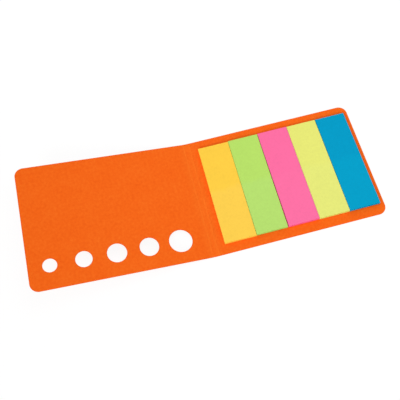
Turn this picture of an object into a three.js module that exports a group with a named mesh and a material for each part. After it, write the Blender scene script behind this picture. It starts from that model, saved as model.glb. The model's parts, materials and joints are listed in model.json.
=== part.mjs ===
// Sticky index tabs in a folding card cover, lying open.
// Millimetres, +Z up. X runs across the opened cover, with the front panel on -X.
// Y runs along the spine, and the punched holes are near the -Y edge.
// The origin is the middle of the whole opened booklet, on the surface it lies on.

import * as THREE from 'three';

// Stacks of index tabs, from the crease outwards. A stack's shift is how far its
// middle lies from the middle of the cover, towards the back edge.
const tabStacks = [
  { name: 'amber_tabs', colour: '#ffd04c', shift: -0.15 },
  { name: 'green_tabs', colour: '#b8e16e', shift: 0.1 },
  { name: 'pink_tabs', colour: '#fe70a5', shift: 0.2 },
  { name: 'lemon_tabs', colour: '#e7ea78', shift: 0.2 },
  { name: 'blue_tabs', colour: '#029ec8', shift: 0.2 },
];
const tabWidth = 15;
const tabLength = 50.4;
const stackThickness = 1.5;
const stackGap = 0.1;

// Bare card left round the stacks
const creaseMargin = 3.8;
const outerMargin = 2.05;
const endMargin = 4.8;

// Card cover
const cardColour = '#f4661b';
const cardThickness = 0.45;
const cornerRadius = 4;
const creaseGap = 0.3;
const closingClearance = 1.3;

// Fold of the card as it lies open, in degrees above the surface
const spineTilt = 2.7;
const frontTilt = 11.2;

// Row of punched holes in the front panel, from the spine outwards
const holeDiameters = [10.8, 8.8, 8.9, 7.5, 6.3];
const firstHoleFromSpine = 13;
const lastHoleFromEdge = 9.5;
const holeRowFromEdge = 10.75;

// Smoothness of the round edges
const cornerSteps = 10;
const holeSteps = 40;

// What follows from those sizes
const stackPitch = tabWidth + stackGap;
const stacksWidth = tabStacks.length * stackPitch - stackGap;
const panelWidth = creaseMargin + stacksWidth + outerMargin;
const panelHeight = tabLength + 2 * endMargin;
const spineWidth = stackThickness + closingClearance;
const holeRowLength = panelWidth - firstHoleFromSpine - lastHoleFromEdge;
const holePitch = holeRowLength / (holeDiameters.length - 1);

const radians = THREE.MathUtils.degToRad;

function paperMaterial(colour, roughness) {
  return new THREE.MeshStandardMaterial({ color: colour, roughness, metalness: 0 });
}

// A flat piece: its outline lies in X and Y, and its thickness stands up from there.
function flatPiece(name, outline, thickness, material) {
  const geometry = new THREE.ExtrudeGeometry(outline, {
    depth: thickness,
    bevelEnabled: false,
    curveSegments: cornerSteps,
  });
  const piece = new THREE.Mesh(geometry, material);
  piece.name = name;
  return piece;
}

// A rectangle from one x to another, centred on the middle of the cover's height.
function boxOutline(from, to, length) {
  const half = length / 2;
  const outline = new THREE.Shape();
  outline.moveTo(from, -half);
  outline.lineTo(to, -half);
  outline.lineTo(to, half);
  outline.lineTo(from, half);
  outline.closePath();
  return outline;
}

// A cover panel from the crease at x = 0 to its free edge, with the two outer corners round.
function panelOutline() {
  const half = panelHeight / 2;
  const outline = new THREE.Shape();
  const turnX = panelWidth - cornerRadius;
  const turnY = half - cornerRadius;
  outline.moveTo(creaseGap / 2, -half);
  outline.lineTo(turnX, -half);
  outline.absarc(turnX, -turnY, cornerRadius, -Math.PI / 2, 0);
  outline.lineTo(panelWidth, turnY);
  outline.absarc(turnX, turnY, cornerRadius, 0, Math.PI / 2);
  outline.lineTo(creaseGap / 2, half);
  outline.closePath();
  return outline;
}

// A punched hole, as a ring of straight steps.
function punchedHole(x, y, diameter) {
  const ring = new THREE.Path();
  const radius = diameter / 2;
  ring.moveTo(x + radius, y);
  for (let step = 1; step < holeSteps; step += 1) {
    const turn = (-2 * Math.PI * step) / holeSteps;
    ring.lineTo(x + radius * Math.cos(turn), y + radius * Math.sin(turn));
  }
  ring.closePath();
  return ring;
}

// The front panel is drawn as the back one is, then turned to the far side of its crease.
function buildFrontCover(card) {
  const outline = panelOutline();
  const holeRow = panelHeight / 2 - holeRowFromEdge;
  holeDiameters.forEach((diameter, index) => {
    outline.holes.push(punchedHole(firstHoleFromSpine + index * holePitch, holeRow, diameter));
  });
  const panel = flatPiece('front_cover', outline, cardThickness, card);
  panel.rotation.z = Math.PI;
  panel.position.z = -cardThickness;
  return panel;
}

function buildSpine(card) {
  const outline = boxOutline(creaseGap / 2 - spineWidth, -creaseGap / 2, panelHeight);
  const spine = flatPiece('spine', outline, cardThickness, card);
  spine.position.z = -cardThickness;
  return spine;
}

function buildTabStack({ name, colour, shift }, index) {
  const outline = boxOutline(0, tabWidth, tabLength);
  const stack = flatPiece(name, outline, stackThickness, paperMaterial(colour, 0.75));
  stack.position.set(creaseMargin + index * stackPitch, shift, cardThickness);
  return stack;
}

// Each crease turns about a line on the card's inner face, so no edge presses into its neighbour.
function buildBooklet() {
  const card = paperMaterial(cardColour, 0.8);
  const booklet = new THREE.Group();
  booklet.add(flatPiece('back_cover', panelOutline(), cardThickness, card));
  booklet.add(...tabStacks.map(buildTabStack));

  const spineFold = new THREE.Group();
  spineFold.position.z = cardThickness;
  spineFold.rotation.y = radians(spineTilt);
  spineFold.add(buildSpine(card));
  booklet.add(spineFold);

  const frontFold = new THREE.Group();
  frontFold.position.x = -spineWidth;
  frontFold.rotation.y = radians(frontTilt - spineTilt);
  frontFold.add(buildFrontCover(card));
  spineFold.add(frontFold);

  const frontReach =
    spineWidth * Math.cos(radians(spineTilt)) +
    panelWidth * Math.cos(radians(frontTilt)) +
    cardThickness * Math.sin(radians(frontTilt));
  booklet.position.x = (frontReach - panelWidth) / 2;
  return booklet;
}

export default buildBooklet();
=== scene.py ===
import json
import logging
import math
import random
from dataclasses import dataclass, field
from enum import Enum
from typing import Callable, Sequence

import bmesh
import bpy
from mathutils import Matrix, Vector, noise
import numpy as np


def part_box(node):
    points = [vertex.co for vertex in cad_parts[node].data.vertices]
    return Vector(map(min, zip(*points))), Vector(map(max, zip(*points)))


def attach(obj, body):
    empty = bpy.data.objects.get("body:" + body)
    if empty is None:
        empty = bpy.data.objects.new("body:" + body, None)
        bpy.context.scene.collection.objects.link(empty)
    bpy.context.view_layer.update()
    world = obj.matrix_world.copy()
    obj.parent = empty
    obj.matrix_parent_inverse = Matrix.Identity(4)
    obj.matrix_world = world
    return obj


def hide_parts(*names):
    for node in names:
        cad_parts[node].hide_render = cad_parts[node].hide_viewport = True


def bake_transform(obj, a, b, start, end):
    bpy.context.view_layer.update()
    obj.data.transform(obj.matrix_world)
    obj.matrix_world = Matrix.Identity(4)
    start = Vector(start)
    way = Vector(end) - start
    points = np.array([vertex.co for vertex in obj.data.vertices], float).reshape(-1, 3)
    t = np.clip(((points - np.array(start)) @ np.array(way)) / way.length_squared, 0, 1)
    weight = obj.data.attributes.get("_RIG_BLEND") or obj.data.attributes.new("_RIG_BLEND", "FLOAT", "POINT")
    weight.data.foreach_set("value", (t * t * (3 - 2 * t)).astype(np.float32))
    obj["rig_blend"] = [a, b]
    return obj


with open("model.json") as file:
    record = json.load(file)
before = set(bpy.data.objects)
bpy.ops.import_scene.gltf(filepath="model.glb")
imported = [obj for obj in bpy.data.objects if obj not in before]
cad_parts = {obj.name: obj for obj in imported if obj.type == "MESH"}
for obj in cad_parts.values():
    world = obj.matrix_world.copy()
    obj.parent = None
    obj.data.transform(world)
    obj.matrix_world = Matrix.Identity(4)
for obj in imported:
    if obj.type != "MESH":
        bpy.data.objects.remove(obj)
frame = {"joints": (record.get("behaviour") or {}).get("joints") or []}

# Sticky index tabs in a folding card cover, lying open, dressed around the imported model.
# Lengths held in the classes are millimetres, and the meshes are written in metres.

logging.basicConfig(level=logging.INFO, format="%(message)s")
log = logging.getLogger("index_tabs")

MM = 0.001
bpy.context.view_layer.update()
SHEET_MAP = "sheet"
CUT_MAP = "cut"
WHITE = (1.0, 1.0, 1.0)

# Distances in the flat sheet within which a point is on a line, and two points are one
NEAR = 1e-4
WELD = 1e-5

# Places of the Mix node's colour sockets, which share their names with its other sockets
MIX_SHARE, MIX_FIRST, MIX_SECOND, MIX_RESULT = 0, 6, 7, 2
NOISE_MIDDLE = 0.5

Colour = tuple[float, float, float]


def smooth_step(value: float) -> float:
    """Ease a share from 0 to 1 with level ends.

    Args:
        value: The share, which is clamped to 0 and 1.

    Returns:
        The eased share.
    """
    share = min(1.0, max(0.0, value))
    return share * share * (3.0 - 2.0 * share)


def turned(x: float, z: float, degrees: float) -> Vector:
    """Turn a point about the Y axis.

    Args:
        x: Distance along X.
        z: Distance along Z.
        degrees: Turn, with a positive one lifting the -X side.

    Returns:
        The turned point, with y at 0.
    """
    sine, cosine = math.sin(math.radians(degrees)), math.cos(math.radians(degrees))
    return Vector((x * cosine + z * sine, 0.0, z * cosine - x * sine))


class Wire:
    """A value in a material's nodes, on which arithmetic adds Math nodes."""

    def __init__(self, desk: "PaintDesk", socket: bpy.types.NodeSocket) -> None:
        """Keep the socket and the desk that owns it."""
        self.desk = desk
        self.socket = socket

    def _math(self, operation: str, left: "Wire | float", right: "Wire | float" = 0.0) -> "Wire":
        """Add one Math node.

        Args:
            operation: Name of the node's operation.
            left: First value.
            right: Second value, where the operation has one.

        Returns:
            The node's result.
        """
        made = self.desk.node("ShaderNodeMath", {"operation": operation}, {0: left, 1: right})
        return Wire(self.desk, made.outputs[0])

    def __add__(self, other: "Wire | float") -> "Wire":
        """Return this value plus another."""
        return self._math("ADD", self, other)

    def __sub__(self, other: "Wire | float") -> "Wire":
        """Return this value minus another."""
        return self._math("SUBTRACT", self, other)

    def __rsub__(self, other: float) -> "Wire":
        """Return another value minus this one."""
        return self._math("SUBTRACT", other, self)

    def __mul__(self, other: "Wire | float") -> "Wire":
        """Return this value times another."""
        return self._math("MULTIPLY", self, other)

    def __abs__(self) -> "Wire":
        """Return the value without its sign."""
        return self._math("ABSOLUTE", self)

    def ramp(self, low: float, high: float, start: float = 0.0, end: float = 1.0) -> "Wire":
        """Ease this value from one level to another between two limits.

        Args:
            low: Value at which the easing starts.
            high: Value at which it ends.
            start: Level at the low limit.
            end: Level at the high limit.

        Returns:
            The eased level.
        """
        made = self.desk.node(
            "ShaderNodeMapRange",
            {"interpolation_type": "SMOOTHSTEP"},
            {"Value": self, "From Min": low, "From Max": high, "To Min": start, "To Max": end},
        )
        return Wire(self.desk, made.outputs["Result"])


@dataclass(frozen=True)
class Pattern:
    """A noise pattern: cycles per unit, finer layers, and stretch and turn in degrees."""

    scale: float = 1.0
    detail: float = 3.0
    roughness: float = 0.6
    stretch: tuple[float, float, float] | None = None
    turn: float = 0.0


class PaintDesk:
    """Builds the nodes of a material or of the world."""

    def __init__(self, tree: bpy.types.NodeTree) -> None:
        """Clear the node tree and keep it."""
        self.tree = tree
        self.tree.nodes.clear()

    def finish(self, output: str, shader: bpy.types.Node) -> None:
        """Add the output node.

        Args:
            output: Blender's name of the output node's type.
            shader: Node that it shows.
        """
        self.node(output, {}, {"Surface": Wire(self, shader.outputs[0])})

    def node(self, kind: str, settings: dict, sockets: dict) -> bpy.types.Node:
        """Add a node.

        Args:
            kind: Blender's name of the node type.
            settings: Values of the node's own settings, which are set first.
            sockets: Values or wires of its input sockets, by name or place.

        Returns:
            The new node.
        """
        made = self.tree.nodes.new(kind)
        for key, value in settings.items():
            setattr(made, key, value)
        for key, value in sockets.items():
            self.feed(made.inputs[key], value)
        return made

    def feed(self, socket: bpy.types.NodeSocket, value: object) -> None:
        """Link a wire to a socket, or set the socket's own value.

        Args:
            socket: Input socket.
            value: Wire, number or list of numbers.
        """
        if isinstance(value, Wire):
            self.tree.links.new(value.socket, socket)
        else:
            socket.default_value = value

    def noise(self, place: Wire, pattern: Pattern) -> Wire:
        """Add a noise pattern with its middle at 0.

        Args:
            place: Coordinates of the pattern.
            pattern: What it is like.

        Returns:
            The pattern, from about -0.5 to 0.5.
        """
        if pattern.stretch is not None:
            place = self.stretched(place, pattern.stretch, pattern.turn)
        sockets = {
            "Vector": place,
            "Scale": pattern.scale,
            "Detail": pattern.detail,
            "Roughness": pattern.roughness,
        }
        made = self.node("ShaderNodeTexNoise", {}, sockets)
        return Wire(self, made.outputs["Fac"]) - NOISE_MIDDLE

    def stretched(self, place: Wire, scale: Sequence[float], turn: float) -> Wire:
        """Stretch and turn the coordinates of a pattern.

        Args:
            place: Coordinates.
            scale: Scale along each axis.
            turn: Turn about the Z axis, in degrees.

        Returns:
            The changed coordinates.
        """
        made = self.node(
            "ShaderNodeMapping",
            {"vector_type": "POINT"},
            {"Vector": place, "Scale": scale, "Rotation": (0.0, 0.0, math.radians(turn))},
        )
        return Wire(self, made.outputs[0])

    def attribute(self, name: str, output: str) -> Wire:
        """Read a map that the mesh carries.

        Args:
            name: Name of the map.
            output: Vector for coordinates, or Fac for a number.

        Returns:
            The map's value.
        """
        made = self.node("ShaderNodeAttribute", {"attribute_name": name}, {})
        return Wire(self, made.outputs[output])

    def axes(self, place: Wire) -> tuple[Wire, Wire, Wire]:
        """Split coordinates into their three numbers.

        Args:
            place: Coordinates.

        Returns:
            The x, y and z values.
        """
        made = self.node("ShaderNodeSeparateXYZ", {}, {0: place})
        return tuple(Wire(self, out) for out in made.outputs)

    def blended(
        self, share: Wire, first: "Wire | Sequence[float]", second: "Wire | Sequence[float]"
    ) -> Wire:
        """Mix two colours.

        Args:
            share: Share of the second colour.
            first: First colour.
            second: Second colour.

        Returns:
            The mixed colour.
        """
        sockets = {MIX_SHARE: share, MIX_FIRST: first, MIX_SECOND: second}
        made = self.node("ShaderNodeMix", {"data_type": "RGBA"}, sockets)
        return Wire(self, made.outputs[MIX_RESULT])

    def brightened(self, colour: Wire, level: Wire) -> Wire:
        """Scale a colour by a number.

        Args:
            colour: Colour.
            level: Factor near 1.

        Returns:
            The scaled colour.
        """
        sockets = {0: colour, "Scale": level}
        made = self.node("ShaderNodeVectorMath", {"operation": "SCALE"}, sockets)
        return Wire(self, made.outputs[0])

    def bumped(self, height: Wire, depth: float) -> Wire:
        """Turn a height pattern into a surface normal.

        Args:
            height: Height pattern.
            depth: Height of one unit of the pattern, in millimetres.

        Returns:
            The bumped normal.
        """
        sockets = {"Strength": 1.0, "Distance": depth * MM, "Height": height}
        made = self.node("ShaderNodeBump", {}, sockets)
        return Wire(self, made.outputs[0])

    def principled(self, constants: dict, varied: dict) -> None:
        """Add the Principled shader and the material's output.

        Args:
            constants: Values that are the same all over the surface.
            varied: Wires that change over it.
        """
        shader = self.node("ShaderNodeBsdfPrincipled", {}, {**constants, **varied})
        self.finish("ShaderNodeOutputMaterial", shader)


def solid(colour: Colour) -> tuple[float, float, float, float]:
    """Return a colour with full opacity."""
    return (*colour, 1.0)


def new_material(name: str) -> tuple[bpy.types.Material, PaintDesk]:
    """Start a material.

    Args:
        name: Its name.

    Returns:
        The material, and the desk that builds its nodes.
    """
    made = bpy.data.materials.new(name)
    made.use_nodes = True
    return made, PaintDesk(made.node_tree)


@dataclass(frozen=True)
class CardFinish:
    """Uncoated card, dyed through, with a fibre mottle, crushed fibres at its score lines that also carry a
    painted highlight, and painted light over the spine.
    """

    name: str = "card"
    colour: Colour = (0.965, 0.1395, 0.0070)
    dark_fibre: Colour = (0.885, 0.096, 0.0028)
    light_fibre: Colour = (1.0, 0.195, 0.0175)
    cut_edge: Colour = (0.87, 0.118, 0.0075)
    # Lighter tone of the crushed fibres, also used as a painted highlight at the score lines and as painted
    # light over the spine
    crushed_fibre_and_painted_light: Colour = (1.0, 0.215, 0.019)
    clouds: Pattern = Pattern(0.09, 3.0, 0.55)
    flocks: Pattern = Pattern(0.78, 2.0, 0.5)
    fibres: Pattern = Pattern(stretch=(0.55, 3.4, 3.0), turn=24.0)
    cross_fibres: Pattern = Pattern(stretch=(2.8, 0.5, 3.0), turn=-18.0)
    fuzz: Pattern = Pattern(5.5, 2.0, 0.6)
    streaks: Pattern = Pattern(stretch=(2.6, 0.12, 1.0))
    mottle: float = 1.7
    grain_in_mottle: float = 0.7
    clouds_in_mottle: float = 0.4
    score_half: float = 1.4
    # The lighter score line is shifted toward the bead's lit flank: a painted highlight
    lit_flank_shift: float = 0.22
    wear_and_highlight_reach: tuple[float, float] = (0.6, 0.05)
    wear_and_highlight_level: float = 0.12
    streaks_in_wear_and_highlight: float = 1.2
    # Broad lighter band over the spine and beside the score lines: painted light
    painted_spine_light_reach: tuple[float, float] = (3.4, 0.0)
    painted_spine_light_level: float = 0.19
    streaks_in_painted_spine_light: float = 0.5
    edge_level: float = 0.75
    flocks_in_edge: float = 0.4
    roughness: float = 0.72
    grain_in_roughness: float = 0.2
    flocks_in_roughness: float = 0.16
    sheen_level: float = 0.07
    grain_in_relief: float = 0.7
    fuzz_in_relief: float = 0.5
    flocks_in_relief: float = 0.6
    relief_depth: float = 0.02

    def material(self) -> bpy.types.Material:
        """Build the material.

        Returns:
            The card's material, whose patterns follow the flat sheet.
        """
        material, desk = new_material(self.name)
        place = desk.attribute(SHEET_MAP, "Vector")
        clouds = desk.noise(place, self.clouds)
        flocks = desk.noise(place, self.flocks)
        fuzz = desk.noise(place, self.fuzz)
        grain = (desk.noise(place, self.fibres) + desk.noise(place, self.cross_fibres)) * 0.5

        tone = flocks + grain * self.grain_in_mottle + clouds * self.clouds_in_mottle
        darker, lighter = tone * -self.mottle, tone * self.mottle
        mottled = desk.blended(darker, solid(self.colour), solid(self.dark_fibre))
        mottled = desk.blended(lighter, mottled, solid(self.light_fibre))

        # Lighter line at each score line: partly crushed fibres, partly a painted highlight on the bead's
        # lit flank
        across, _, _ = desk.axes(place)
        from_score = abs(abs(across + self.lit_flank_shift) - self.score_half)
        streaks = desk.noise(place, self.streaks)
        wear_and_highlight_level = streaks * self.streaks_in_wear_and_highlight + self.wear_and_highlight_level
        wear_and_highlight = from_score.ramp(*self.wear_and_highlight_reach) * wear_and_highlight_level
        # Painted light: a broad lighter band over the spine and beside the score lines
        painted_spine_light_level = streaks * self.streaks_in_painted_spine_light + self.painted_spine_light_level
        painted_spine_light = from_score.ramp(*self.painted_spine_light_reach) * painted_spine_light_level
        worn_and_lit = desk.blended(wear_and_highlight + painted_spine_light, mottled, solid(self.crushed_fibre_and_painted_light))

        cut = desk.attribute(CUT_MAP, "Fac") * (flocks * self.flocks_in_edge + self.edge_level)
        uneven = grain * self.grain_in_roughness + flocks * self.flocks_in_roughness
        relief = grain * self.grain_in_relief + fuzz * self.fuzz_in_relief
        relief = relief + flocks * self.flocks_in_relief
        desk.principled(
            {"Specular IOR Level": self.sheen_level},
            {
                "Base Color": desk.blended(cut, worn_and_lit, solid(self.cut_edge)),
                "Roughness": uneven + self.roughness,
                "Normal": desk.bumped(relief, self.relief_depth),
            },
        )
        return material


@dataclass(frozen=True)
class TabFinish:
    """Smooth dyed paper of an index tab, a little deeper in tone where the sheets are glued."""

    name: str
    glued: Colour
    loose: Colour
    edge: Colour
    clouds: Pattern = Pattern(0.16, 3.0, 0.55)
    formation: Pattern = Pattern(0.9, 3.0, 0.6)
    fibres: Pattern = Pattern(stretch=(3.2, 0.6, 3.0), turn=12.0)
    fuzz: Pattern = Pattern(6.5, 2.0, 0.6)
    glue_reach: tuple[float, float] = (-0.4, 3.2)
    glue_wander: float = 5.0
    formation_in_tone: float = 0.14
    fibres_in_tone: float = 0.06
    clouds_in_tone: float = 0.06
    edge_level: float = 0.7
    fibres_in_edge: float = 0.5
    roughness: float = 0.62
    formation_in_roughness: float = 0.14
    fibres_in_roughness: float = 0.12
    sheen_level: float = 0.03
    fibres_in_relief: float = 0.6
    formation_in_relief: float = 0.5
    fuzz_in_relief: float = 0.4
    relief_depth: float = 0.008

    def material(self) -> bpy.types.Material:
        """Build the material.

        Returns:
            The paper's material, whose patterns follow each sheet.
        """
        material, desk = new_material(self.name)
        place = desk.attribute(SHEET_MAP, "Vector")
        clouds = desk.noise(place, self.clouds)
        formation = desk.noise(place, self.formation)
        fibres = desk.noise(place, self.fibres)
        fuzz = desk.noise(place, self.fuzz)

        _, along, _ = desk.axes(place)
        glue = (along + clouds * self.glue_wander).ramp(*self.glue_reach)
        tone = desk.blended(glue, solid(self.loose), solid(self.glued))
        level = formation * self.formation_in_tone + fibres * self.fibres_in_tone
        shown = desk.brightened(tone, level + clouds * self.clouds_in_tone + 1.0)

        cut = desk.attribute(CUT_MAP, "Fac") * (fibres * self.fibres_in_edge + self.edge_level)
        uneven = formation * self.formation_in_roughness + fibres * self.fibres_in_roughness
        relief = fibres * self.fibres_in_relief + formation * self.formation_in_relief
        relief = relief + fuzz * self.fuzz_in_relief
        desk.principled(
            {"Specular IOR Level": self.sheen_level},
            {
                "Base Color": desk.blended(cut, shown, solid(self.edge)),
                "Roughness": uneven + self.roughness,
                "Normal": desk.bumped(relief, self.relief_depth),
            },
        )
        return material


class Tint(Enum):
    """The five tab colours from the spine outwards: each glued, loose and at its cut edge."""

    AMBER = TabFinish(
        "amber_paper", (1.0, 0.630, 0.062), (1.0, 0.640, 0.080), (0.99, 0.60, 0.060)
    )
    GREEN = TabFinish(
        "green_paper", (0.480, 0.755, 0.142), (0.474, 0.752, 0.164), (0.465, 0.735, 0.135)
    )
    PINK = TabFinish(
        "pink_paper", (0.990, 0.160, 0.372), (0.990, 0.166, 0.378), (0.98, 0.155, 0.355)
    )
    LEMON = TabFinish(
        "lemon_paper", (0.802, 0.818, 0.184), (0.796, 0.826, 0.198), (0.79, 0.80, 0.175)
    )
    BLUE = TabFinish(
        "blue_paper", (0.0008, 0.332, 0.572), (0.0008, 0.352, 0.590), (0.0008, 0.325, 0.56)
    )


def finished_object(
    name: str, mesh: bmesh.types.BMesh, material: bpy.types.Material
) -> bpy.types.Object:
    """Make an object at the origin from a mesh in millimetres.

    Args:
        name: Piece name.
        mesh: Mesh in the row frame, in millimetres, which is freed.
        material: Its material.

    Returns:
        The object, linked to the scene.
    """
    bmesh.ops.transform(mesh, matrix=Matrix.Scale(MM, 4), verts=mesh.verts)
    data = bpy.data.meshes.new(name)
    mesh.to_mesh(data)
    mesh.free()
    data.materials.append(material)
    made = bpy.data.objects.new(name, data)
    bpy.context.scene.collection.objects.link(made)
    return made


@dataclass(frozen=True)
class PunchedHole:
    """A round hole in the flat front panel."""

    from_spine: float
    across_middle: float
    diameter: float


@dataclass
class CoverHalf:
    """A cover panel and its half of the spine, as one sheet of card that bends at a score line.

    The sheet is built flat. There x is the distance from the middle of the spine, y runs
    along the spine and z is 0 on the inner face.
    """

    name: str
    side: int
    panel_body: str
    stands_for: tuple[str, ...]
    score_place: Vector
    spine_tilt: float
    panel_tilt: float
    holes: Sequence[PunchedHole] = ()
    panel_width: float = 81.25
    height: float = 60.0
    thickness: float = 0.45
    corner_radius: float = 4.0
    corner_steps: int = 14
    hole_steps: int = 56
    edge_radius: float = 0.07
    edge_steps: int = 3
    spine_width: float = 2.8
    bend_half: float = 0.45
    bend_margin: float = 0.15
    bead_height: float = 0.09
    bead_half: float = 0.50
    bead_uneven: float = 0.7
    bead_cycles: float = 0.11
    bead_draw: tuple[float, float] = (3.7, 0.4)
    groove_depth: float = 0.13
    column_width: float = 0.09
    rows: int = 30
    slot: str = "card"

    def edge_profile(self) -> list[tuple[float, float]]:
        """Work out the rounded edge of the card.

        Returns:
            Steps outwards and down from the start of the rounding on the inner face.
        """
        quarter = [math.pi / 2 * step / self.edge_steps for step in range(self.edge_steps + 1)]
        radius = self.edge_radius
        upper = [(radius * math.sin(turn), radius * (1 - math.cos(turn))) for turn in quarter]
        lower = [(out, self.thickness - down) for out, down in reversed(upper)]
        return upper + lower

    def outward(self, point: Vector) -> Vector:
        """Find the way out of the panel at a point near its outline.

        Args:
            point: Point of the flat sheet.

        Returns:
            Unit vector in the sheet.
        """
        limit_x = self.reach - self.corner_radius
        limit_y = self.height / 2 - self.corner_radius
        x = min(abs(point.x), limit_x) * self.side
        y = max(-limit_y, min(limit_y, point.y))
        return Vector((point.x - x, point.y - y, 0.0)).normalized()

    @property
    def reach(self) -> float:
        """Distance from the middle of the spine to the panel's free edge."""
        return self.spine_width / 2 + self.panel_width

    def outline(self, mesh: bmesh.types.BMesh, start: float) -> tuple[list, bmesh.types.BMEdge]:
        """Draw the panel's outline on the inner face, with its two outer corners round.

        Args:
            mesh: Mesh that takes the outline.
            start: Distance of the open side from the middle of the spine.

        Returns:
            The edges round the panel, and the straight one on the side of the spine.
        """
        made = bmesh.ops.create_grid(mesh, x_segments=1, y_segments=1, size=0.5)
        corners = made["verts"]
        width = self.reach - start
        bmesh.ops.scale(mesh, vec=(width, self.height, 1.0), verts=corners)
        bmesh.ops.translate(mesh, vec=(self.side * (start + width / 2), 0.0, 0.0), verts=corners)
        outer = [corner for corner in corners if abs(corner.co.x) > start + width / 2]
        bmesh.ops.bevel(
            mesh,
            geom=outer,
            offset=self.corner_radius,
            offset_type="OFFSET",
            affect="VERTICES",
            segments=self.corner_steps,
            profile=0.5,
            material=-1,
        )
        bmesh.ops.delete(mesh, geom=mesh.faces[:], context="FACES_ONLY")
        edges = mesh.edges[:]
        closing = next(e for e in edges if self.on_open_side(e.verts, start))
        return [e for e in edges if e is not closing], closing

    def on_open_side(self, verts: Sequence[bmesh.types.BMVert], start: float) -> bool:
        """Tell whether points lie on the panel's open side.

        Args:
            verts: Points of the flat sheet.
            start: Distance of the open side from the middle of the spine.

        Returns:
            True if they all do.
        """
        return all(abs(abs(vert.co.x) - start) < NEAR for vert in verts)

    def rounded_wall(
        self, mesh: bmesh.types.BMesh, ring: list, outward: Callable[[Vector], Vector]
    ) -> list:
        """Draw the rounded cut edge down from a ring on the inner face.

        Args:
            mesh: Mesh that holds the ring.
            ring: Edges of the ring, at the outline.
            outward: Way out of the card at a point.

        Returns:
            The ring's edges on the outer face.
        """
        cut = mesh.faces.layers.float[CUT_MAP]
        profile = self.edge_profile()
        for vert in {v for e in ring for v in e.verts}:
            vert.co -= outward(vert.co) * self.edge_radius
        edges, (out_before, down_before) = ring, profile[0]
        for out, down in profile[1:]:
            grown = bmesh.ops.extrude_edge_only(mesh, edges=edges)["geom"]
            verts, edges = self.far_side(grown)
            for vert in verts:
                vert.co += outward(vert.co) * (out - out_before)
                vert.co.z -= down - down_before
            for face in (g for g in grown if isinstance(g, bmesh.types.BMFace)):
                face[cut] = 1.0
            out_before, down_before = out, down
        return edges

    def far_side(self, grown: list) -> tuple[list, list]:
        """Find the far side of a strip that was grown from edges.

        Args:
            grown: What the growing made.

        Returns:
            The new points, and the new edges between them.
        """
        verts = [g for g in grown if isinstance(g, bmesh.types.BMVert)]
        known = set(verts)
        edges = [
            g for g in grown
            if isinstance(g, bmesh.types.BMEdge) and all(v in known for v in g.verts)
        ]
        return verts, edges

    def fill(self, mesh: bmesh.types.BMesh, edges: list, normal: Sequence[float]) -> None:
        """Fill a flat face of the card, and keep its border sharp.

        Args:
            mesh: Mesh that holds the edges.
            edges: Edges of the face's outline and holes.
            normal: Way out of the card.
        """
        bmesh.ops.triangle_fill(
            mesh, use_beauty=True, use_dissolve=False, edges=edges, normal=normal
        )
        for edge in edges:
            edge.smooth = False

    def flat_sheet(self) -> bmesh.types.BMesh:
        """Build the closed sheet of card, lying flat.

        Returns:
            The mesh, with its patterns' coordinates and its cut edges marked.
        """
        mesh = bmesh.new()
        mesh.faces.layers.float.new(CUT_MAP)
        start = self.spine_width / 2 + self.bend_half + self.bend_margin
        ring, closing = self.outline(mesh, start)
        below = self.rounded_wall(mesh, ring, self.outward)
        inner, outer = list(ring), list(below)
        for hole in self.holes:
            hole_ring, hole_below = self.punched(mesh, hole)
            inner += hole_ring
            outer += hole_below
        ends = [v for v in {v for e in below for v in e.verts} if self.on_open_side([v], start)]
        closing_below = mesh.edges.new(ends)
        spans = []
        for line in (closing, closing_below):
            far = set(mesh.edges)
            bmesh.ops.subdivide_edges(mesh, edges=[line], cuts=self.rows - 1)
            spans.append([line] + [e for e in mesh.edges if e not in far])
        self.fill(mesh, inner + spans[0], (0.0, 0.0, 1.0))
        self.fill(mesh, outer + spans[1], (0.0, 0.0, -1.0))
        self.bend_columns(mesh, start)
        bmesh.ops.remove_doubles(mesh, verts=mesh.verts, dist=WELD)
        bmesh.ops.recalc_face_normals(mesh, faces=mesh.faces)
        for face in mesh.faces:
            face.smooth = True
        return mesh

    def punched(self, mesh: bmesh.types.BMesh, hole: PunchedHole) -> tuple[list, list]:
        """Draw a hole's rim and its wall.

        Args:
            mesh: Mesh that takes the hole.
            hole: Its place and size.

        Returns:
            The rim's edges on the inner face, and those on the outer face.
        """
        x = self.side * (self.spine_width / 2 + hole.from_spine)
        centre = Vector((x, hole.across_middle, 0.0))
        made = bmesh.ops.create_circle(
            mesh,
            segments=self.hole_steps,
            radius=hole.diameter / 2,
            matrix=Matrix.Translation(centre),
        )
        ring = list({e for v in made["verts"] for e in v.link_edges})

        def inward(point: Vector) -> Vector:
            """Return the way from the rim to the hole's middle."""
            return Vector((centre.x - point.x, centre.y - point.y, 0.0)).normalized()

        return ring, self.rounded_wall(mesh, ring, inward)

    def bend_columns(self, mesh: bmesh.types.BMesh, start: float) -> None:
        """Carry the card's section across the score line to the middle of the spine.

        Args:
            mesh: Mesh with the panel.
            start: Distance of its open side from the middle of the spine.
        """
        section = [e for e in mesh.edges if self.on_open_side(e.verts, start)]
        columns = round(start / self.column_width)
        step = (-self.side * start / columns, 0.0, 0.0)
        for _ in range(columns):
            grown = bmesh.ops.extrude_edge_only(mesh, edges=section)["geom"]
            verts, section = self.far_side(grown)
            bmesh.ops.translate(mesh, vec=step, verts=verts)
        self.fill(mesh, section, (-self.side, 0.0, 0.0))

    def scored(self, point: Vector) -> float:
        """Find how far the score line lifts a point of the sheet.

        Args:
            point: Point of the flat sheet.

        Returns:
            Lift, which raises a bead on the inner face over a groove in the outer one.
        """
        from_line = abs(abs(point.x) - self.spine_width / 2)
        if from_line >= self.bead_half:
            return 0.0
        shape = math.cos(math.pi / 2 * from_line / self.bead_half) ** 2
        across, level = self.bead_draw
        spot = Vector((self.side * across, point.y * self.bead_cycles, level))
        uneven = 1.0 + self.bead_uneven * noise.noise(spot)
        depth = -point.z / self.thickness
        return shape * uneven * (self.bead_height * (1 - depth) + self.groove_depth * depth)

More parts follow.
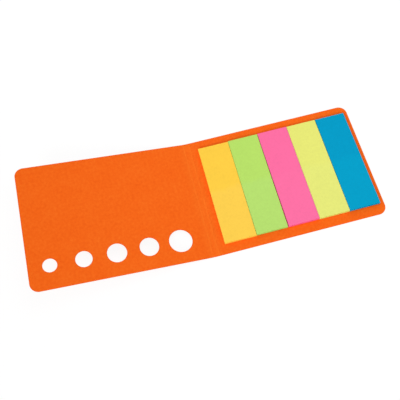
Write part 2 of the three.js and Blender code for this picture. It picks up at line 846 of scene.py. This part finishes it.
    def folded(self, point: Vector) -> Vector:
        """Fold a point of the flat sheet to where it is on the open booklet.

        Args:
            point: Point of the flat sheet.

        Returns:
            Its place in the row frame.
        """
        out = abs(point.x) - self.spine_width / 2
        height = point.z + self.scored(point)
        share = smooth_step((out + self.bend_half) / (2 * self.bend_half))
        tilt = self.spine_tilt + share * (self.panel_tilt - self.spine_tilt)
        placed = turned(self.side * out, height, tilt)
        return self.score_place + Vector((placed.x, point.y, placed.z))

    def build(self, material: bpy.types.Material) -> bpy.types.Object:
        """Build the folded sheet and join it to its bodies.

        Args:
            material: The card's material.

        Returns:
            The finished piece.
        """
        mesh = self.flat_sheet()
        sheet = mesh.verts.layers.float_vector.new(SHEET_MAP)
        for vert in mesh.verts:
            vert[sheet] = vert.co
            vert.co = self.folded(vert.co)
        piece = finished_object(self.name, mesh, material)
        middle = (self.spine_tilt + self.panel_tilt) / 2
        on_panel = self.score_place + turned(self.side * self.bend_half, 0.0, middle)
        on_spine = self.score_place - turned(self.side * self.bend_half, 0.0, middle)
        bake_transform(piece, self.panel_body, "spine_strip", start=on_panel * MM, end=on_spine * MM)
        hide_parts(*self.stands_for)
        log.info("%s: %d faces", self.name, len(piece.data.polygons))
        return piece


@dataclass
class TabStack:
    """A stack of index tabs: thin sheets, glued down over the back half of their length."""

    node: str
    tint: Tint
    seed: int
    left_trim: float = 0.0
    right_trim: float = 0.0
    askew: float = 0.0
    sheets: int = 20
    air: float = 0.006
    shuffle: float = 0.028
    end_shuffle: float = 2.0
    top_share: float = 0.4
    twist: float = 0.03
    free_lift: float = 0.10
    lifted_sheets: int = 7
    strips: int = 12
    pattern_apart: float = 31.0
    pattern_rise: float = 9.0
    body: str = "back"

    def sheet(
        self, mesh: bmesh.types.BMesh, place: Vector, turn: float, size: Vector, lift: float
    ) -> None:
        """Add one sheet of paper.

        Args:
            mesh: Mesh that takes the sheet.
            place: Middle of its underside.
            turn: Turn about the Z axis, in degrees.
            size: Width, length and thickness.
            lift: Rise of its free end.
        """
        made = bmesh.ops.create_grid(mesh, x_segments=1, y_segments=self.strips, size=0.5)
        lower = made["verts"]
        bmesh.ops.scale(mesh, vec=(size.x, size.y, 1.0), verts=lower)
        faces = list({f for v in lower for f in v.link_faces})
        known = set(mesh.faces)
        grown = bmesh.ops.extrude_face_region(mesh, geom=faces, use_keep_orig=True)["geom"]
        upper = [g for g in grown if isinstance(g, bmesh.types.BMVert)]
        tops = {g for g in grown if isinstance(g, bmesh.types.BMFace)}
        bmesh.ops.translate(mesh, vec=(0.0, 0.0, size.z), verts=upper)
        cut = mesh.faces.layers.float[CUT_MAP]
        for face in mesh.faces:
            if face not in known and face not in tops:
                face[cut] = 1.0
        sheet_map = mesh.verts.layers.float_vector[SHEET_MAP]
        slide = Vector((self.seed * self.pattern_apart, 0.0, place.z * self.pattern_rise))
        for vert in lower + upper:
            vert[sheet_map] = vert.co + slide
            free = max(0.0, -vert.co.y / (size.y / 2))
            vert.co.z += lift * free * free
        settle = Matrix.Translation(place) @ Matrix.Rotation(math.radians(turn), 4, "Z")
        bmesh.ops.transform(mesh, matrix=settle, verts=lower + upper)

    def build(self) -> bpy.types.Object:
        """Build the stack where its node is.

        Returns:
            The finished piece.
        """
        low, high = (Vector(corner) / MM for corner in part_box(self.node))
        low.x += self.left_trim
        high.x -= self.right_trim
        draw = random.Random(self.seed)
        mesh = bmesh.new()
        mesh.faces.layers.float.new(CUT_MAP)
        mesh.verts.layers.float_vector.new(SHEET_MAP)
        pitch = (high.z - low.z) / self.sheets
        size = Vector((high.x - low.x, high.y - low.y, pitch - self.air))
        middle = (low + high) / 2
        for level in range(self.sheets):
            from_top = self.sheets - 1 - level
            ease = self.top_share if from_top == 0 else 1.0
            place = Vector((
                middle.x + draw.uniform(-self.shuffle, self.shuffle) * ease,
                middle.y + draw.uniform(-self.shuffle, self.shuffle) * ease * self.end_shuffle,
                low.z + level * pitch,
            ))
            turn = self.askew + draw.uniform(-self.twist, self.twist) * ease
            share = max(0.0, 1.0 - from_top / self.lifted_sheets)
            self.sheet(mesh, place, turn, size, self.free_lift * share * share)
        bmesh.ops.recalc_face_normals(mesh, faces=mesh.faces)
        piece = finished_object(f"{self.node}_stack", mesh, self.tint.value.material())
        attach(piece, self.body)
        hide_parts(self.node)
        log.info("%s: %d sheets", piece.name, self.sheets)
        return piece


@dataclass
class TabBooklet:
    """The whole open booklet: the card cover and the five stacks of tabs in it."""

    spine_tilt: float = 2.7
    front_tilt: float = 11.2
    first_hole: float = 13.0
    hole_pitch: float = 14.6875
    hole_line: float = -19.25
    hole_diameters: tuple[float, ...] = (10.8, 8.8, 8.9, 7.5, 6.3)
    card: CardFinish = field(default_factory=CardFinish)

    def score_places(self) -> dict[str, Vector]:
        """Find the two score lines.

        Returns:
            A point on each joint's line at the middle of the booklet, by joint name.
        """
        return {joint["name"]: Vector(joint["pos_m"]) / MM for joint in frame["joints"]}

    def build(self) -> None:
        """Build the cover and the stacks."""
        scores = self.score_places()
        material = self.card.material()
        holes = [
            PunchedHole(self.first_hole + step * self.hole_pitch, self.hole_line, diameter)
            for step, diameter in enumerate(self.hole_diameters)
        ]
        CoverHalf(
            name="back_card",
            side=1,
            panel_body="back",
            stands_for=("back_cover", "spine"),
            score_place=scores["spine_fold"],
            spine_tilt=self.spine_tilt,
            panel_tilt=0.0,
        ).build(material)
        CoverHalf(
            name="front_card",
            side=-1,
            panel_body="front",
            stands_for=("front_cover",),
            score_place=scores["front_fold"],
            spine_tilt=self.spine_tilt,
            panel_tilt=self.front_tilt,
            holes=holes,
        ).build(material)
        TabStack("amber_tabs", Tint.AMBER, 1, left_trim=-0.12, right_trim=-0.04, askew=0.03).build()
        TabStack("green_tabs", Tint.GREEN, 2, left_trim=0.08, right_trim=0.02, askew=0.04).build()
        TabStack("pink_tabs", Tint.PINK, 3, left_trim=0.24, right_trim=-0.17, askew=0.28).build()
        TabStack("lemon_tabs", Tint.LEMON, 4, left_trim=0.21, right_trim=0.14, askew=0.24).build()
        TabStack("blue_tabs", Tint.BLUE, 5, left_trim=0.0, right_trim=0.16, askew=0.16).build()


@dataclass
class Studio:
    """A plain white table top in a light tent, with a broad overhead lamp and a soft front one."""

    wall_level: float = 1.05
    top_level: float = 0.0
    wall_reach: tuple[float, float] = (0.35, 0.85)
    front_share: float = 0.23
    front_from: Vector = field(default_factory=lambda: Vector((-0.50, -0.80, 0.75)))
    front_softness: float = 20.0
    overhead_share: float = 0.385
    overhead_place: Vector = field(default_factory=lambda: Vector((58.0, 10.0, 280.0)))
    overhead_size: float = 240.0
    floor_half: float = 1500.0
    floor_drop: float = 0.02
    floor_grey: float = 0.80
    floor_glow: float = 0.92
    floor_catch: float = 0.10
    shadow_reach: tuple[float, float] = (110.0, 260.0)

    def seen(self, desk: PaintDesk) -> Wire:
        """Find the rays that look at the background.

        Args:
            desk: Desk of the floor's or the world's nodes.

        Returns:
            1 for camera, glossy and transmission rays, and 0 for the others.
        """
        path = desk.node("ShaderNodeLightPath", {}, {})
        names = ("Is Camera Ray", "Is Glossy Ray", "Is Transmission Ray")
        camera, glossy, transmission = (Wire(desk, path.outputs[name]) for name in names)
        return camera + glossy + transmission

    def sky(self) -> None:
        """Light the scene from the tent's walls, with a white background behind it."""
        world = bpy.data.worlds.new("tent_sky")
        world.use_nodes = True
        bpy.context.scene.world = world
        desk = PaintDesk(world.node_tree)
        seen = self.seen(desk)
        place = desk.node("ShaderNodeTexCoord", {}, {})
        _, _, height = desk.axes(Wire(desk, place.outputs["Generated"]))
        level = height.ramp(*self.wall_reach, self.wall_level, self.top_level)
        strength = seen * (1.0 - level) + level
        sky = desk.node("ShaderNodeBackground", {}, {"Color": solid(WHITE), "Strength": strength})
        desk.finish("ShaderNodeOutputWorld", sky)

    def hang(self, lamp: bpy.types.Light, place: Vector, away: Vector) -> None:
        """Hang a lamp.

        Args:
            lamp: The lamp.
            place: Where it hangs.
            away: Direction from what it lights to the lamp.
        """
        made = bpy.data.objects.new(lamp.name, lamp)
        made.location = place * MM
        made.rotation_euler = away.to_track_quat("Z", "Y").to_euler()
        bpy.context.scene.collection.objects.link(made)

    def lamps(self) -> None:
        """Hang the soft lamp in front and to the left, and the broad one overhead."""
        front = bpy.data.lights.new("front_lamp", "SUN")
        toward = self.front_from.normalized()
        front.energy = self.front_share * math.pi / toward.z
        front.angle = math.radians(self.front_softness)
        self.hang(front, Vector((0.0, 0.0, 0.0)), toward)
        overhead = bpy.data.lights.new("overhead_lamp", "AREA")
        overhead.shape = "DISK"
        overhead.size = self.overhead_size * MM
        reach = math.hypot(self.overhead_place.z, self.overhead_size / 2) * MM
        overhead.energy = self.overhead_share * (math.pi * reach) ** 2
        self.hang(overhead, self.overhead_place, Vector((0.0, 0.0, 1.0)))

    def floor(self) -> None:
        """Lay a white table top that keeps the booklet's shadow."""
        material, desk = new_material("table_top")
        seen = self.seen(desk)
        place = Wire(desk, desk.node("ShaderNodeTexCoord", {}, {}).outputs["Object"])
        length = desk.node("ShaderNodeVectorMath", {"operation": "LENGTH"}, {0: place})
        near, far = (limit * MM for limit in self.shadow_reach)
        beyond = Wire(desk, length.outputs["Value"]).ramp(near, far, self.floor_glow, 1.0)
        light = {"Color": solid(WHITE), "Strength": seen * beyond}
        glow = Wire(desk, desk.node("ShaderNodeEmission", {}, light).outputs[0])
        colour = desk.blended(seen, solid((self.floor_grey,) * 3), solid((self.floor_catch,) * 3))
        matt = Wire(desk, desk.node("ShaderNodeBsdfDiffuse", {}, {"Color": colour}).outputs[0])
        both = desk.node("ShaderNodeAddShader", {}, {0: glow, 1: matt})
        desk.finish("ShaderNodeOutputMaterial", both)
        mesh = bmesh.new()
        bmesh.ops.create_grid(mesh, x_segments=1, y_segments=1, size=self.floor_half)
        bmesh.ops.translate(mesh, vec=(0.0, 0.0, -self.floor_drop), verts=mesh.verts)
        finished_object("table_top", mesh, material)

    def build(self) -> None:
        """Set up the sky, the lamps and the table top."""
        self.sky()
        self.lamps()
        self.floor()


@dataclass
class StudioCamera:
    """The camera, above the front of the booklet and a little left of its middle."""

    place: Vector = field(default_factory=lambda: Vector((-17.9, -110.27, 263.76)))
    elevation: float = 65.448
    azimuth: float = -10.8
    roll: float = -4.14
    lens: float = 54.0
    sensor: float = 36.0
    shift: tuple[float, float] = (-0.01865, -0.04805)
    clip: tuple[float, float] = (0.01, 100.0)

    def build(self) -> None:
        """Create the camera and make it the scene's."""
        turns = (self.elevation, self.azimuth, self.roll)
        up_turn, side_turn, roll = (math.radians(turn) for turn in turns)
        forward = Vector((
            -math.sin(side_turn) * math.cos(up_turn),
            math.cos(side_turn) * math.cos(up_turn),
            -math.sin(up_turn),
        ))
        level = Vector((math.cos(side_turn), math.sin(side_turn), 0.0))
        upright = level.cross(forward)
        right = level * math.cos(roll) + upright * math.sin(roll)
        up = right.cross(forward)
        data = bpy.data.cameras.new("camera")
        data.lens = self.lens
        data.sensor_width = self.sensor
        data.shift_x, data.shift_y = self.shift
        data.clip_start, data.clip_end = self.clip
        made = bpy.data.objects.new("camera", data)
        turn = Matrix((right, up, -forward)).transposed().to_4x4()
        made.matrix_world = Matrix.Translation(self.place * MM) @ turn
        bpy.context.scene.collection.objects.link(made)
        bpy.context.scene.camera = made


def main() -> None:
    """Build the booklet, its studio and the camera."""
    StudioCamera().build()
    log.info("camera set")
    TabBooklet().build()
    log.info("booklet built")
    Studio().build()
    log.info("studio lit")
    bpy.context.scene.view_settings.view_transform = "Standard"


if __name__ == "__main__":
    main()
